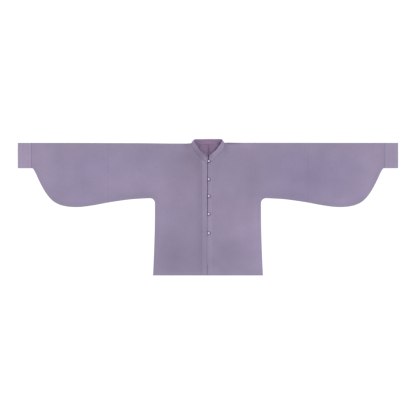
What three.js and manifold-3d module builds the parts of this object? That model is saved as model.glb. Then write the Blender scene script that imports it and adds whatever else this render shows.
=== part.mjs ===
// Stand-collar jacket with lute-shaped sleeves, opening down the front, laid out flat with its front up.
// Millimetres. X runs along the sleeves, positive to the wearer's left, Y runs up the body from the hem
// to the collar, and Z rises off the table. While it is being made, Y = 0 is the shoulder fold.

import * as THREE from "three";
import { mergeVertices } from "three/addons/utils/BufferGeometryUtils.js";
import Module from "manifold-3d";

// ---- Driving sizes of the cut ------------------------------------------------------------------------
const HALF_SPAN = 950;
const LENGTH = 661;
const HALF_CHEST = 265;
const HALF_HEM = 274.5;
const SLIT = 195;
const UNDERARM_DEPTH = 275;
const UNDERARM_RADIUS = 25;
const UNDERARM_STEPS = 5;
const EDGE_STEPS_PER_ROW = 2;
const SLEEVE_SEAM = 500;
const CUFF_LENGTH = 66.5;
const CUFF_DEPTH = 125.5;

// ---- Front opening, bands and neck -------------------------------------------------------------------
const OPENING_RIGHT = -4;
const OPENING_LEFT = -1.5;
const RIGHT_BAND_WIDTH = 28;
const LEFT_BAND_WIDTH = 21;
const BAND_THICKNESS = 1;

// ---- Cloth and how it lies ---------------------------------------------------------------------------
const CLOTH = 1.2;
const SEAM_GAP = 0.3;
const SEAM_ALLOWANCE = 1.5;
const EDGE_HEIGHT = 3.4;
const LOFT = 2.1;
const LOFT_REACH = 30;
const GRID_STEP = 32;
// A height in the space between the lower and the upper layer, one above every piece and one below.
const LAYERS_PART = EDGE_HEIGHT / 2;
const TALL = 60;
const UNDER = -1;

// ---- Fastenings --------------------------------------------------------------------------------------
const BUTTON_X = 3.2;
const PEARL_RADIUS = 4.7;
const PEARL_CENTRE_HEIGHT = 5;
const SHANK_RADIUS = 1.5;
const PEARL_SIDES = 12;
const PEARL_RINGS = 8;
const LOOP_CORD = 2.2;
const LOOP_RADIUS = 7.8;
const LOOP_TAIL = 3;
const LOOP_BESIDE_PEARL = 2.2;
const LOOP_BELOW_PEARL = 1.5;
const LOOP_SIDES = 6;
const LOOP_STEPS = 14;
const LOOP_TURN_STEPS = 6;

// The lower edge of a sleeve, from the underarm to the cuff: distance from the centre, and depth below
// the shoulder fold.
const sleeveEdge = [
  { across: 290, depth: 275 },
  { across: 338, depth: 277.2 },
  { across: 398, depth: 282 },
  { across: 488, depth: 294.8 },
  { across: 578, depth: 311.3 },
  { across: 653, depth: 319.5 },
  { across: 722, depth: 313.2 },
  { across: 772, depth: 291 },
  { across: 808.5, depth: 251 },
  { across: 839.5, depth: 197 },
  { across: 863, depth: 146.5 },
  { across: 876, depth: 125.5 },
];

// Half of the collar band, from the front end round to the centre back. Each row is one section: where
// its seam lies, where its top edge lies, and how high each of the two is.
const collarSections = [
  { seamX: 2, seamY: -99, seamZ: 5.4, edgeX: 2, edgeY: -62, edgeZ: 8.5 },
  { seamX: 27, seamY: -82, seamZ: 5.4, edgeX: 20.5, edgeY: -53, edgeZ: 21 },
  { seamX: 50, seamY: -60, seamZ: 5.3, edgeX: 38, edgeY: -40.5, edgeZ: 29 },
  { seamX: 70, seamY: -38, seamZ: 5.0, edgeX: 51.5, edgeY: -19.5, edgeZ: 32.5 },
  { seamX: 81.5, seamY: -14, seamZ: 4.2, edgeX: 63.5, edgeY: 0.5, edgeZ: 33.5 },
  { seamX: 84, seamY: -1, seamZ: 3.2, edgeX: 69.5, edgeY: 16.5, edgeZ: 33.5 },
  { seamX: 72, seamY: -1.5, seamZ: 1.9, edgeX: 61, edgeY: 19.5, edgeZ: 33.5 },
  { seamX: 42, seamY: -3, seamZ: 1.7, edgeX: 36, edgeY: 19.5, edgeZ: 34 },
  { seamX: 0, seamY: -4, seamZ: 1.7, edgeX: 0, edgeY: 19.5, edgeZ: 34 },
];
const collarFrontEnds = {
  right: { seamX: -2, edgeX: -1.5 },
  left: { seamX: 3.5, edgeX: 4.5 },
};
const COLLAR_THICKNESS = 2;
const COLLAR_BULGE = 1.2;
const COLLAR_STEPS = 44;

// The fastenings, each at its depth below the shoulder fold. The top one stands on the ends of the collar,
// which are a little higher than the bands.
const fastenings = [
  { depth: 90, lift: 2.0 },
  { depth: 180, lift: 0 },
  { depth: 264, lift: 0 },
  { depth: 353, lift: 0 },
  { depth: 449, lift: 0 },
];

// The largest soft folds of the front: a line from one place to another, how wide the fold is on each
// side of it, and how far it lifts the cloth.
const folds = [
  { name: "drag below the left underarm", x1: 225, y1: -125, x2: 192, y2: -350, width: 36, lift: -1.0 },
  { name: "roll down the left side", x1: 240, y1: -340, x2: 246, y2: -560, width: 34, lift: 0.5 },
  { name: "dip low on the left front", x1: 108, y1: -490, x2: 132, y2: -610, width: 52, lift: -0.8 },
  { name: "ridge beside the left hem", x1: 34, y1: -560, x2: 62, y2: -661, width: 32, lift: 0.4 },
  { name: "dip low on the right front", x1: -196, y1: -510, x2: -125, y2: -640, width: 60, lift: -0.9 },
  { name: "hollow beside the neck", x1: -118, y1: -30, x2: -98, y2: -115, width: 40, lift: -0.9 },
  { name: "roll over the right armhole", x1: -300, y1: -60, x2: -262, y2: -250, width: 44, lift: 0.4 },
  { name: "lift on the right sleeve", x1: -470, y1: -190, x2: -360, y2: -180, width: 50, lift: 0.4 },
  { name: "drag to the right cuff", x1: -860, y1: -112, x2: -742, y2: -262, width: 42, lift: -0.7 },
  { name: "dip on the left sleeve", x1: 470, y1: -80, x2: 512, y2: -240, width: 46, lift: -0.9 },
  { name: "ridge to the left cuff", x1: 842, y1: -96, x2: 770, y2: -250, width: 42, lift: 0.4 },
];

const materials = {
  cloth: new THREE.MeshStandardMaterial({ color: 0x958aa4, roughness: 0.85, metalness: 0 }),
  cuff: new THREE.MeshStandardMaterial({ color: 0x9f92ae, roughness: 0.85, metalness: 0 }),
  pearl: new THREE.MeshStandardMaterial({ color: 0xe4dcea, roughness: 0.25, metalness: 0 }),
  cord: new THREE.MeshStandardMaterial({ color: 0x84788f, roughness: 0.8, metalness: 0 }),
};

// ---- Solids ------------------------------------------------------------------------------------------
const wasm = await Module();
wasm.setup();

function solidFrom(geometry) {
  const bare = geometry.clone();
  bare.deleteAttribute("normal");
  bare.deleteAttribute("uv");
  const merged = mergeVertices(bare, 1e-4);
  const mesh = new wasm.Mesh({
    numProp: 3,
    vertProperties: new Float32Array(merged.attributes.position.array),
    triVerts: new Uint32Array(merged.index.array),
  });
  return new wasm.Manifold(mesh);
}

function geometryFrom(solid) {
  const mesh = solid.getMesh();
  const geometry = new THREE.BufferGeometry();
  geometry.setAttribute("position", new THREE.BufferAttribute(new Float32Array(mesh.vertProperties), 3));
  geometry.setIndex(new THREE.BufferAttribute(new Uint32Array(mesh.triVerts), 1));
  geometry.computeVertexNormals();
  return geometry;
}

function box(xLow, xHigh, yLow, yHigh, zLow, zHigh) {
  const geometry = new THREE.BoxGeometry(xHigh - xLow, yHigh - yLow, zHigh - zLow);
  geometry.translate((xLow + xHigh) / 2, (yLow + yHigh) / 2, (zLow + zHigh) / 2);
  return solidFrom(geometry);
}

function prism(points, zLow, zHigh) {
  const shape = new THREE.Shape(points);
  const geometry = new THREE.ExtrudeGeometry(shape, { depth: zHigh - zLow, bevelEnabled: false });
  geometry.translate(0, 0, zLow);
  return solidFrom(geometry);
}

// ---- Outline -----------------------------------------------------------------------------------------
// One side of the outline, from the middle of the shoulder fold round to the middle of the hem. Sewn and
// folded edges move in by inset. Open ends, which are the cuff, the slit and the hem, move out by reach.
function halfOutline(inset, reach) {
  const points = [];
  points.push(new THREE.Vector2(HALF_SPAN + reach, -inset));
  points.push(new THREE.Vector2(HALF_SPAN + reach, inset - CUFF_DEPTH));
  const curve = new THREE.SplineCurve(sleeveEdge.map((row) => new THREE.Vector2(row.across, -row.depth)));
  const steps = (sleeveEdge.length - 1) * EDGE_STEPS_PER_ROW;
  for (let i = steps; i >= 0; i -= 1) {
    const point = curve.getPoint(i / steps);
    const along = curve.getTangent(i / steps);
    points.push(new THREE.Vector2(point.x - along.y * inset, point.y + along.x * inset));
  }
  const cornerX = HALF_CHEST + UNDERARM_RADIUS;
  const cornerY = -UNDERARM_DEPTH - UNDERARM_RADIUS;
  for (let i = 1; i <= UNDERARM_STEPS; i += 1) {
    const turn = (1 + i / UNDERARM_STEPS) * (Math.PI / 2);
    const radius = UNDERARM_RADIUS + inset;
    points.push(new THREE.Vector2(cornerX + radius * Math.cos(turn), cornerY + radius * Math.sin(turn)));
  }
  points.push(new THREE.Vector2(HALF_CHEST - inset, SLIT - LENGTH));
  if (reach > 0) points.push(new THREE.Vector2(HALF_CHEST + reach, SLIT - LENGTH));
  points.push(new THREE.Vector2(HALF_HEM + reach, -LENGTH - reach));
  return points;
}

function wholeOutline(inset, reach) {
  const left = halfOutline(inset, reach);
  const right = left.map((point) => new THREE.Vector2(-point.x, point.y)).reverse();
  return [...left, ...right];
}

const outline = wholeOutline(0, 0);

// How far a place is inside the outline, or 0 outside it.
function depthInside(x, y) {
  const place = new THREE.Vector2(x, y);
  let nearest = Infinity;
  let inside = false;
  outline.forEach((start, index) => {
    const end = outline[(index + 1) % outline.length];
    nearest = Math.min(nearest, distanceToLine(place, start, end));
    const crosses = start.y > y !== end.y > y;
    if (crosses && x < start.x + ((y - start.y) / (end.y - start.y)) * (end.x - start.x)) inside = !inside;
  });
  return inside ? nearest : 0;
}

function distanceToLine(place, start, end) {
  const line = end.clone().sub(start);
  const along = THREE.MathUtils.clamp(place.clone().sub(start).dot(line) / line.lengthSq(), 0, 1);
  return place.distanceTo(start.clone().addScaledVector(line, along));
}

// ---- The cloth, laid flat ----------------------------------------------------------------------------
function clothTop(x, y) {
  let loft = LOFT;
  for (const fold of folds) {
    const start = new THREE.Vector2(fold.x1, fold.y1);
    const end = new THREE.Vector2(fold.x2, fold.y2);
    const away = distanceToLine(new THREE.Vector2(x, y), start, end) / fold.width;
    loft += fold.lift * Math.exp(-away * away);
  }
  return EDGE_HEIGHT + loft * (1 - Math.exp(-depthInside(x, y) / LOFT_REACH));
}

// A block over the whole jacket, whose top follows the upper layer of cloth, moved up by lift.
function blockUnderCloth(lift) {
  const width = 2 * HALF_SPAN + 2 * GRID_STEP;
  const depth = LENGTH + 2 * GRID_STEP;
  const across = Math.round(width / GRID_STEP);
  const down = Math.round(depth / GRID_STEP);
  const geometry = new THREE.BoxGeometry(width, depth, TALL, across, down, 1);
  geometry.translate(0, -LENGTH / 2, -TALL / 2);
  const position = geometry.attributes.position;
  for (let i = 0; i < position.count; i += 1) {
    if (position.getZ(i) > -TALL / 2) {
      position.setZ(i, clothTop(position.getX(i), position.getY(i)) + lift);
    }
  }
  return solidFrom(geometry);
}

function jacketShell() {
  const outer = prism(outline, 0, TALL).intersect(blockUnderCloth(0));
  const hollow = prism(wholeOutline(SEAM_ALLOWANCE, 2 * SEAM_ALLOWANCE), CLOTH, TALL);
  return outer.subtract(hollow.intersect(blockUnderCloth(-CLOTH)));
}

// The whole collar, from the right front end round the back to the left front end, as two curves: the
// seam that joins it to the neck, and its top edge.
const collarRows = [
  { ...collarSections[0], ...collarFrontEnds.right },
  ...collarSections.slice(1, -1).map((row) => ({ ...row, seamX: -row.seamX, edgeX: -row.edgeX })),
  ...collarSections.slice(1).reverse(),
  { ...collarSections[0], ...collarFrontEnds.left },
];
const collarSeam = new THREE.CatmullRomCurve3(
  collarRows.map((row) => new THREE.Vector3(row.seamX, row.seamY, row.seamZ)),
);
const collarEdge = new THREE.CatmullRomCurve3(
  collarRows.map((row) => new THREE.Vector3(row.edgeX, row.edgeY, row.edgeZ)),
);

// The neckline: the front curve is cut through the upper layer, and the back curve through both layers.
function neckCut() {
  const seam = [];
  for (let i = 0; i <= COLLAR_STEPS; i += 1) {
    const point = collarSeam.getPoint(i / COLLAR_STEPS);
    seam.push(new THREE.Vector2(point.x, point.y));
  }
  const across = seam.map((point) => point.x);
  const rightShoulder = across.indexOf(Math.min(...across));
  const leftShoulder = across.indexOf(Math.max(...across));
  const aboveRight = new THREE.Vector2(across[rightShoulder], TALL);
  const aboveLeft = new THREE.Vector2(across[leftShoulder], TALL);
  const front = [...seam.slice(leftShoulder), ...seam.slice(0, rightShoulder + 1)];
  const back = seam.slice(rightShoulder, leftShoulder + 1);
  const frontCut = prism([...front, aboveRight, aboveLeft], LAYERS_PART, TALL);
  const backCut = prism([...back, aboveLeft, aboveRight], UNDER, TALL);
  return frontCut.add(backCut);
}

function slab(xLow, xHigh, zLow = UNDER, zHigh = TALL) {
  return box(xLow, xHigh, -LENGTH - TALL, TALL, zLow, zHigh);
}

// ---- Pieces ------------------------------------------------------------------------------------------
const garment = new THREE.Group();

function addPiece(name, solidOrGeometry, material) {
  const geometry = solidOrGeometry.getMesh ? geometryFrom(solidOrGeometry) : solidOrGeometry;
  const mesh = new THREE.Mesh(geometry, material);
  mesh.name = name;
  garment.add(mesh);
  return mesh;
}

function addBodies(shell) {
  const farSide = HALF_SPAN + TALL;
  const seam = SEAM_GAP / 2;
  const middle = shell.intersect(slab(-SLEEVE_SEAM + seam, SLEEVE_SEAM - seam)).subtract(neckCut());
  const right = middle
    .subtract(slab(-seam, farSide))
    .subtract(slab(OPENING_RIGHT, farSide, LAYERS_PART));
  const left = middle
    .subtract(slab(-farSide, OPENING_LEFT))
    .subtract(slab(OPENING_LEFT - SEAM_GAP, seam, UNDER, LAYERS_PART));
  addPiece("body_right", right, materials.cloth);
  addPiece("body_left", left, materials.cloth);
}

function addSleeves(shell) {
  const seam = SEAM_GAP / 2;
  const cuffSeam = HALF_SPAN - CUFF_LENGTH;
  for (const side of [{ word: "right", sign: -1 }, { word: "left", sign: 1 }]) {
    const between = (near, far) => {
      const ends = [side.sign * near, side.sign * far].sort((a, b) => a - b);
      return shell.intersect(slab(ends[0], ends[1]));
    };
    addPiece(`sleeve_${side.word}`, between(SLEEVE_SEAM + seam, cuffSeam - seam), materials.cloth);
    addPiece(`cuff_${side.word}`, between(cuffSeam + seam, HALF_SPAN + TALL), materials.cuff);
  }
}

// The bands down the two front edges lie on the fronts, so they are made from the same cloth surface.
function addFrontBands() {
  const lifted = prism(outline, 0, TALL).intersect(blockUnderCloth(SEAM_GAP + BAND_THICKNESS));
  const layer = lifted.subtract(blockUnderCloth(SEAM_GAP)).subtract(neckCut());
  const right = layer.intersect(slab(OPENING_RIGHT - RIGHT_BAND_WIDTH, OPENING_RIGHT));
  const left = layer.intersect(slab(OPENING_LEFT, OPENING_LEFT + LEFT_BAND_WIDTH));
  addPiece("front_band_right", right, materials.cloth);
  addPiece("front_band_left", left, materials.cloth);
}

function addCollar() {
  const sections = [];
  for (let i = 0; i <= COLLAR_STEPS; i += 1) {
    const u = i / COLLAR_STEPS;
    const seam = collarSeam.getPoint(u);
    const high = collarEdge.getPoint(u);
    const up = high.clone().sub(seam);
    const inside = new THREE.Vector3().crossVectors(collarSeam.getTangent(u), up).normalize();
    const level = new THREE.Vector3(inside.x, inside.y, 0).normalize();
    const low = seam.clone().addScaledVector(level, SEAM_GAP);
    const waist = low.clone().lerp(high, 0.5).addScaledVector(inside, -COLLAR_BULGE);
    const outer = [low, waist, high];
    const inner = outer.map((point) => point.clone().addScaledVector(inside, COLLAR_THICKNESS)).reverse();
    sections.push([...outer, ...inner]);
  }
  addPiece("collar", loft(sections), materials.cloth);
}

// A closed skin over a row of sections that all have the same number of corners.
function loft(sections) {
  const corners = sections[0].length;
  const positions = sections.flat().flatMap((point) => [point.x, point.y, point.z]);
  const index = [];
  for (let i = 0; i + 1 < sections.length; i += 1) {
    for (let j = 0; j < corners; j += 1) {
      const a = i * corners + j;
      const b = i * corners + ((j + 1) % corners);
      index.push(a, b, a + corners, b, b + corners, a + corners);
    }
  }
  const last = (sections.length - 1) * corners;
  for (let j = 0; j < corners / 2 - 1; j += 1) {
    const k = corners - 1 - j;
    index.push(j, k, k - 1, j, k - 1, j + 1);
    index.push(last + j, last + k - 1, last + k, last + j, last + j + 1, last + k - 1);
  }
  const geometry = new THREE.BufferGeometry();
  geometry.setAttribute("position", new THREE.Float32BufferAttribute(positions, 3));
  geometry.setIndex(index);
  geometry.computeVertexNormals();
  return geometry;
}

// A pearl on a short shank, turned about its axis.
function pearlGeometry() {
  const profile = [new THREE.Vector2(0, 0), new THREE.Vector2(SHANK_RADIUS, 0)];
  const start = Math.asin(SHANK_RADIUS / PEARL_RADIUS);
  for (let i = 0; i < PEARL_RINGS; i += 1) {
    const turn = start + (i / PEARL_RINGS) * (Math.PI - start);
    const height = PEARL_CENTRE_HEIGHT - PEARL_RADIUS * Math.cos(turn);
    profile.push(new THREE.Vector2(PEARL_RADIUS * Math.sin(turn), height));
  }
  profile.push(new THREE.Vector2(0, PEARL_CENTRE_HEIGHT + PEARL_RADIUS));
  const geometry = new THREE.LatheGeometry(profile, PEARL_SIDES);
  geometry.rotateX(Math.PI / 2);
  return geometry;
}

// A cord sewn to the right front edge, which reaches across the opening and round the pearl.
function loopCord() {
  const start = -LOOP_TAIL - LOOP_RADIUS;
  const points = [new THREE.Vector3(start, LOOP_RADIUS, 0)];
  for (let i = 0; i <= LOOP_TURN_STEPS; i += 1) {
    const turn = (0.5 - i / LOOP_TURN_STEPS) * Math.PI;
    points.push(new THREE.Vector3(LOOP_RADIUS * Math.cos(turn), LOOP_RADIUS * Math.sin(turn), 0));
  }
  points.push(new THREE.Vector3(start, -LOOP_RADIUS, 0));
  const path = new THREE.CatmullRomCurve3(points, false, "centripetal");
  const round = new THREE.Shape();
  for (let i = 0; i < LOOP_SIDES; i += 1) {
    const turn = (i / LOOP_SIDES) * 2 * Math.PI;
    const corner = new THREE.Vector2(Math.cos(turn), Math.sin(turn)).multiplyScalar(LOOP_CORD / 2);
    if (i === 0) round.moveTo(corner.x, corner.y);
    else round.lineTo(corner.x, corner.y);
  }
  round.closePath();
  return new THREE.ExtrudeGeometry(round, { steps: LOOP_STEPS, bevelEnabled: false, extrudePath: path });
}

function addFastenings() {
  fastenings.forEach((row, index) => {
    const bandTop = clothTop(BUTTON_X, -row.depth) + SEAM_GAP + BAND_THICKNESS + row.lift;
    const button = addPiece(`button_${index + 1}`, geometryFrom(solidFrom(pearlGeometry())), materials.pearl);
    button.position.set(BUTTON_X, -row.depth, bandTop + SEAM_GAP);
    const loop = addPiece(`loop_${index + 1}`, geometryFrom(solidFrom(loopCord())), materials.cord);
    const loopX = BUTTON_X + LOOP_BESIDE_PEARL;
    loop.position.set(loopX, -row.depth - LOOP_BELOW_PEARL, bandTop + SEAM_GAP + LOOP_CORD / 2);
  });
}

const shell = jacketShell();
addBodies(shell);
addSleeves(shell);
addFrontBands();
addCollar();
addFastenings();

// The origin goes to the middle of the underside.
const middleOfJacket = new THREE.Box3().setFromObject(garment).getCenter(new THREE.Vector3());
garment.position.set(-middleOfJacket.x, -middleOfJacket.y, 0);

export default garment;
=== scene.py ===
"""Stand-collar jacket with lute-shaped sleeves, laid out flat with its front up.

Sizes in the code are millimetres in the cut's own frame: X across the sleeves to the wearer's left, and Y
up the body, with Y = 0 at the shoulder fold. place() turns them into metres in the part's frame.
"""

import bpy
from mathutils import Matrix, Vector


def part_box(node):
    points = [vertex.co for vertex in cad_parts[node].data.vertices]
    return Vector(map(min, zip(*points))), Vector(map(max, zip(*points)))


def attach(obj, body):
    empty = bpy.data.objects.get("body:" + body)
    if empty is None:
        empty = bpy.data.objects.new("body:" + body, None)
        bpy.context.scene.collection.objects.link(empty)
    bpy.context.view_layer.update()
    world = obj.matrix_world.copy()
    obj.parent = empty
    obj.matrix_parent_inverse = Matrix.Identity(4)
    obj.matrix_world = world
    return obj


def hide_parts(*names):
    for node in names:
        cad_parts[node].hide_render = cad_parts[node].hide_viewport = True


bl_info = {
    "name": "Stand-collar jacket",
    "version": (1, 0, 0),
    "blender": (4, 5, 0),
    "location": "3D View > Sidebar > Jacket",
    "description": "Builds a laid-out jacket with lute-shaped sleeves, stand collar, pearls and cord loops",
    "category": "Add Mesh",
}

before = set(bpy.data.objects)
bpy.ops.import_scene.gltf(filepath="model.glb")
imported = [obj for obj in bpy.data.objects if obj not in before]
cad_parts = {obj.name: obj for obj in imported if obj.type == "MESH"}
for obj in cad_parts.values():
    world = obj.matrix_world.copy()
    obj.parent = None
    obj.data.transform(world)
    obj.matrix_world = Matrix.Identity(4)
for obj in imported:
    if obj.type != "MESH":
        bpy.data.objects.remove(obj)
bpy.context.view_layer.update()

import math
from collections import namedtuple

import bmesh
import bpy
import numpy as np
from mathutils import Matrix, Vector, noise

MM = 0.001
X, Y, Z = 0, 1, 2


# ---- Sizes of the cut, from the frame ----------------------------------------------------------------
def lowest(node, axis):
    """A node's lowest place along an axis, in millimetres."""
    return float(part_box(node)[0][axis]) / MM


def highest(node, axis):
    """A node's highest place along an axis, in millimetres."""
    return float(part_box(node)[1][axis]) / MM


SHOULDER = highest("sleeve_left", Y)
HALF_SPAN = highest("cuff_left", X)
CUFF_SEAM = lowest("cuff_left", X)
CUFF_DEPTH = SHOULDER - lowest("cuff_left", Y)
SLEEVE_SEAM = lowest("sleeve_left", X)
LENGTH = SHOULDER - lowest("body_left", Y)
OPENING_LEFT = lowest("front_band_left", X)
OPENING_RIGHT = highest("front_band_right", X)
LEFT_BAND_EDGE = highest("front_band_left", X)
RIGHT_BAND_EDGE = lowest("front_band_right", X)

# ---- Sizes of the cut that the frame's boxes don't give ----------------------------------------------
HALF_CHEST = 265.0
HALF_HEM = 274.5
SLIT = 195.0
UNDERARM_DEPTH = 275.0
UNDERARM_RADIUS = 25.0
UNDERARM_Y = -UNDERARM_DEPTH - UNDERARM_RADIUS
FLARE_DEPTH = 350.0
FLARE_POWER = 1.7

# The lower edge of a sleeve: distance from the centre, and depth below the shoulder fold.
SLEEVE_EDGE = [
    (290, 275), (338, 277.2), (398, 282), (488, 294.8), (578, 311.3), (653, 319.5), (722, 313.2), (772, 291),
    (808.5, 251), (839.5, 197), (863, 146.5), (876, 125.5),
]

# Half of the collar band, from beside the front end round to the centre back: the seam and the top edge. The
# lean is how much higher the top edge lies on the left than listed, and how much lower on the right.
COLLAR_SECTIONS = [
    {"seam": (27, -82, 5.4), "edge": (18.5, -52, 21), "lean": 0.5},
    {"seam": (50, -60, 5.3), "edge": (39, -39, 29), "lean": 2.5},
    {"seam": (70, -38, 5.0), "edge": (54.5, -17.5, 32.5), "lean": 0.5},
    {"seam": (81.5, -14, 4.2), "edge": (66.5, 1, 33.5), "lean": 0},
    {"seam": (84, -1, 3.2), "edge": (70, 15.7, 33.5), "lean": 0.8},
    {"seam": (72, -1.5, 1.9), "edge": (61, 19.1, 33.5), "lean": 0.4},
    {"seam": (42, -3, 1.7), "edge": (36, 19.2, 34), "lean": 0.3},
    {"seam": (0, -4, 1.7), "edge": (0, 19.3, 34), "lean": 0},
]
COLLAR_RIGHT_END = {"seam": (-2, -99, 5.4), "edge": (-1.5, -58, 8.5)}
COLLAR_LEFT_END = {"seam": (3.5, -99, 5.4), "edge": (4.5, -58, 8.5)}

# The band of the collar: its mean height and length, how far its front corners are cut back and over which
# share of its height, how far it bows out, and how its top edge rounds in, over which share of its height.
COLLAR_HEIGHT = 38.0
COLLAR_LENGTH = 400.0
CORNER_CUT = 6.0
CORNER_SHARE = 0.28
COLLAR_BOW = 1.2
TOP_ROUND = 0.9
TOP_ROUND_SHARE = 0.05
# Its lower edge: how far inside the seam it stands, and how far it is let down where the seam runs low.
SEAM_INSET = 0.3
LET_DOWN = 0.85
LET_DOWN_FROM = 3.2
LET_DOWN_OVER = 1.3

# The front edges draw together below the last button: depth below the shoulder, and how far each moves.
# The cloth beside an edge follows it, and less so the further off it is.
OPENING_CLOSES = [(0, 0), (350, 0), (372, 0.9), (455, 0.9), (480, 1.15), (598, 1.15), (608, 0.75), (661, 0.7)]
MOST_CLOSED = max(move for _, move in OPENING_CLOSES)
CLOSING_REACH = 30.0

# How far the shoulder fold lies above a straight line, from the right cuff to the left one, and how far down
# the cloth goes with it.
SHOULDER_LINE = [(-950, 1.7), (-690, 1.5), (-440, 0.6), (-320, 0.1), (-200, -1.6), (-105, -1.7), (-86, 0),
                 (76, 0), (84, 2.6), (104, 3.1), (125, 2.6), (160, 2.2), (400, 2.1), (640, 1.7), (950, 1.7)]
SHOULDER_REACH = 60.0

# ---- How the layers lie ------------------------------------------------------------------------------
# The edges are folded flat, and the cloth rises a little inside them.
EDGE_HEIGHT = 3.4
EDGE_MIDDLE = EDGE_HEIGHT / 2
EDGE_ROUND = 1.7
LOFT = 2.1
LOFT_REACH = 30.0
LEAST_HEIGHT = 2.3
TABLE_GAP = 0.05

# The cloth dips at the seams across a sleeve: distance from the centre, and depth.
SEAM_DIPS = [(SLEEVE_SEAM, 0.2), (CUFF_SEAM, 0.7)]
DIP_WIDTH = 3.0

# Half of the gap between the halves of the back, and the gap between a body or a sleeve and what it is sewn
# to. The line of the back seam is drawn this far to the left of the centre.
BACK_GAP = 0.02
JOIN_GAP = 0.02
BACK_SEAM = 1.0

# The soft folds of the front: a line from one place to another, the width on each side, and the lift.
Fold = namedtuple("Fold", "start end width lift")
FOLDS = [
    Fold((226, -120), (196, -350), 26, -1.6),  # drag below the left underarm
    Fold((232, -300), (246, -580), 26, 1.2),  # roll down the left side
    Fold((108, -490), (132, -610), 48, -1.5),  # dip low on the left front
    Fold((34, -560), (62, -661), 30, 0.9),  # ridge beside the left hem
    Fold((-196, -510), (-125, -640), 56, -1.6),  # dip low on the right front
    Fold((-118, -30), (-98, -115), 38, -1.6),  # hollow beside the neck
    Fold((-300, -60), (-262, -250), 44, 1.0),  # roll over the right armhole
    Fold((-470, -190), (-360, -180), 50, 1.2),  # lift on the right sleeve
    Fold((-860, -112), (-742, -262), 36, -1.3),  # drag to the right cuff
    Fold((470, -80), (512, -240), 40, -1.6),  # dip on the left sleeve
    Fold((842, -96), (770, -250), 36, 1.2),  # ridge to the left cuff
]

# Uneven ripples: the usual width of one, where in the noise they are read, and their height. The first two
# are so many times as high as the user's ripples, and fade out where the bands hold the cloth flat.
Ripple = namedtuple("Ripple", "width seed height")
LARGE_RIPPLE = Ripple(95, 3.1, 1.5)
SMALL_RIPPLE = Ripple(38, 7.7, 0.6)
HELD_FLAT = 46.0
# The cloth puckers beside a sewn edge. It starts this near the edge and dies out over the reach.
PUCKER = Ripple(17, 11.3, 0.35)
PUCKER_FROM = 4.0
PUCKER_REACH = 24.0
TONE_RIPPLE = Ripple(60, 21.9, 0.2)
# What brings the noise's usual heights up to about 1.
NOISE_TO_ONE = 1.6

# Broad places that are a little darker or lighter, in tenths of the cloth's own tone: centre, reach each way
# and amount. They are painted light and shade, where soft folds, rounded edges and uneven light make the
# cloth look darker or lighter.
Spot = namedtuple("Spot", "x y reach_x reach_y amount")
PAINTED_SHADING = [
    Spot(-104, -12, 16, 14, -1.3),
    Spot(-112, -62, 48, 40, -1.0),
    Spot(-150, -110, 110, 110, -0.6),
    Spot(-56, -95, 36, 60, -0.9),
    Spot(-40, -260, 14, 300, -0.7),
    Spot(-30, -560, 26, 110, -0.6),
    Spot(-60, -330, 75, 330, -0.45),
    Spot(-246, -350, 34, 80, 0.6),
    Spot(-175, -480, 50, 40, -0.6),
    Spot(-180, -628, 40, 26, -0.7),
    Spot(-178, -560, 80, 62, -0.9),
    Spot(-120, -590, 150, 90, -0.6),
    Spot(-7, -520, 5, 170, -0.9),
    Spot(-258, -208, 58, 52, 0.9),
    Spot(-355, -262, 110, 20, -0.4),
    Spot(-312, -40, 65, 55, -0.6),
    Spot(-448, -185, 95, 75, 0.85),
    Spot(-630, -296, 60, 22, 0.6),
    Spot(-815, -200, 60, 45, 0.6),
    Spot(-840, -80, 70, 90, 0.9),
    Spot(86, -24, 16, 26, -1.3),
    Spot(102, -2, 14, 4, -2.6),
    Spot(128, -2.5, 34, 4.5, -3.2),
    Spot(172, -14, 42, 12, 0.7),
    Spot(-110, -6, 24, 4, -1.1),
    Spot(-24, -92, 9, 13, 1.0),
    Spot(10, -135, 12, 40, -0.8),
    Spot(40, -130, 16, 45, -0.4),
    Spot(222, -165, 48, 90, -1.1),
    Spot(100, -70, 90, 60, -0.5),
    Spot(14, -430, 12, 90, 0.4),
    Spot(250, -450, 40, 170, 0.9),
    Spot(244, -390, 34, 70, 0.6),
    Spot(190, -440, 40, 50, 0.5),
    Spot(262, -600, 24, 60, 0.5),
    Spot(120, -618, 36, 26, -0.5),
    Spot(150, -430, 60, 60, 0.5),
    Spot(108, -550, 52, 60, -0.8),
    Spot(60, -570, 40, 50, -0.5),
    Spot(32, -632, 20, 22, 0.7),
    Spot(355, -80, 80, 80, -0.5),
    Spot(485, -170, 100, 75, -0.7),
    Spot(570, -110, 90, 110, -0.5),
    Spot(430, -255, 90, 28, -0.5),
    Spot(700, -290, 70, 40, 0.8),
    Spot(815, -130, 55, 110, 1.0),
    Spot(655, -300, 35, 18, 0.6),
    Spot(790, -225, 45, 50, 0.7),
    Spot(850, -30, 30, 30, 0.6),
    Spot(925, -60, 50, 90, -0.5),
]
# The same for the back where it shows through the neck, and for the collar. Inside the neck they are painted
# shadow under the collar's edge on the wearer's right and down the centre back into the slot between the
# collar's front ends, with one painted lighter place on the wearer's left of the V.
NECK_PAINTED_SHADING = [
    Spot(3.5, -54, 6.5, 44, -4.2),
    Spot(-44, -18, 8, 22, -2.2),
    Spot(-21, -44, 9, 7, -1.3),
    Spot(48, -14, 10, 22, 2.2),
]
# On the collar they are painted shade towards its front ends and the slot between them, and painted light low
# on its sides.
COLLAR_PAINTED_SHADING = [
    Spot(-78, -14, 14, 28, 2.7),
    Spot(-20, -63, 20, 18, -2.1),
    Spot(-32, -50, 12, 8, -1.4),
    Spot(-17, -52, 9, 8, -2.2),
    Spot(-6, -61, 6, 14, -3.4),
    Spot(14, -50, 9, 7, -1.4),
    Spot(17, -68, 12, 20, -1.3),
    Spot(2, -56, 8, 10, -1.5),
    Spot(77, -20, 8, 18, 0.7),
]
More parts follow.
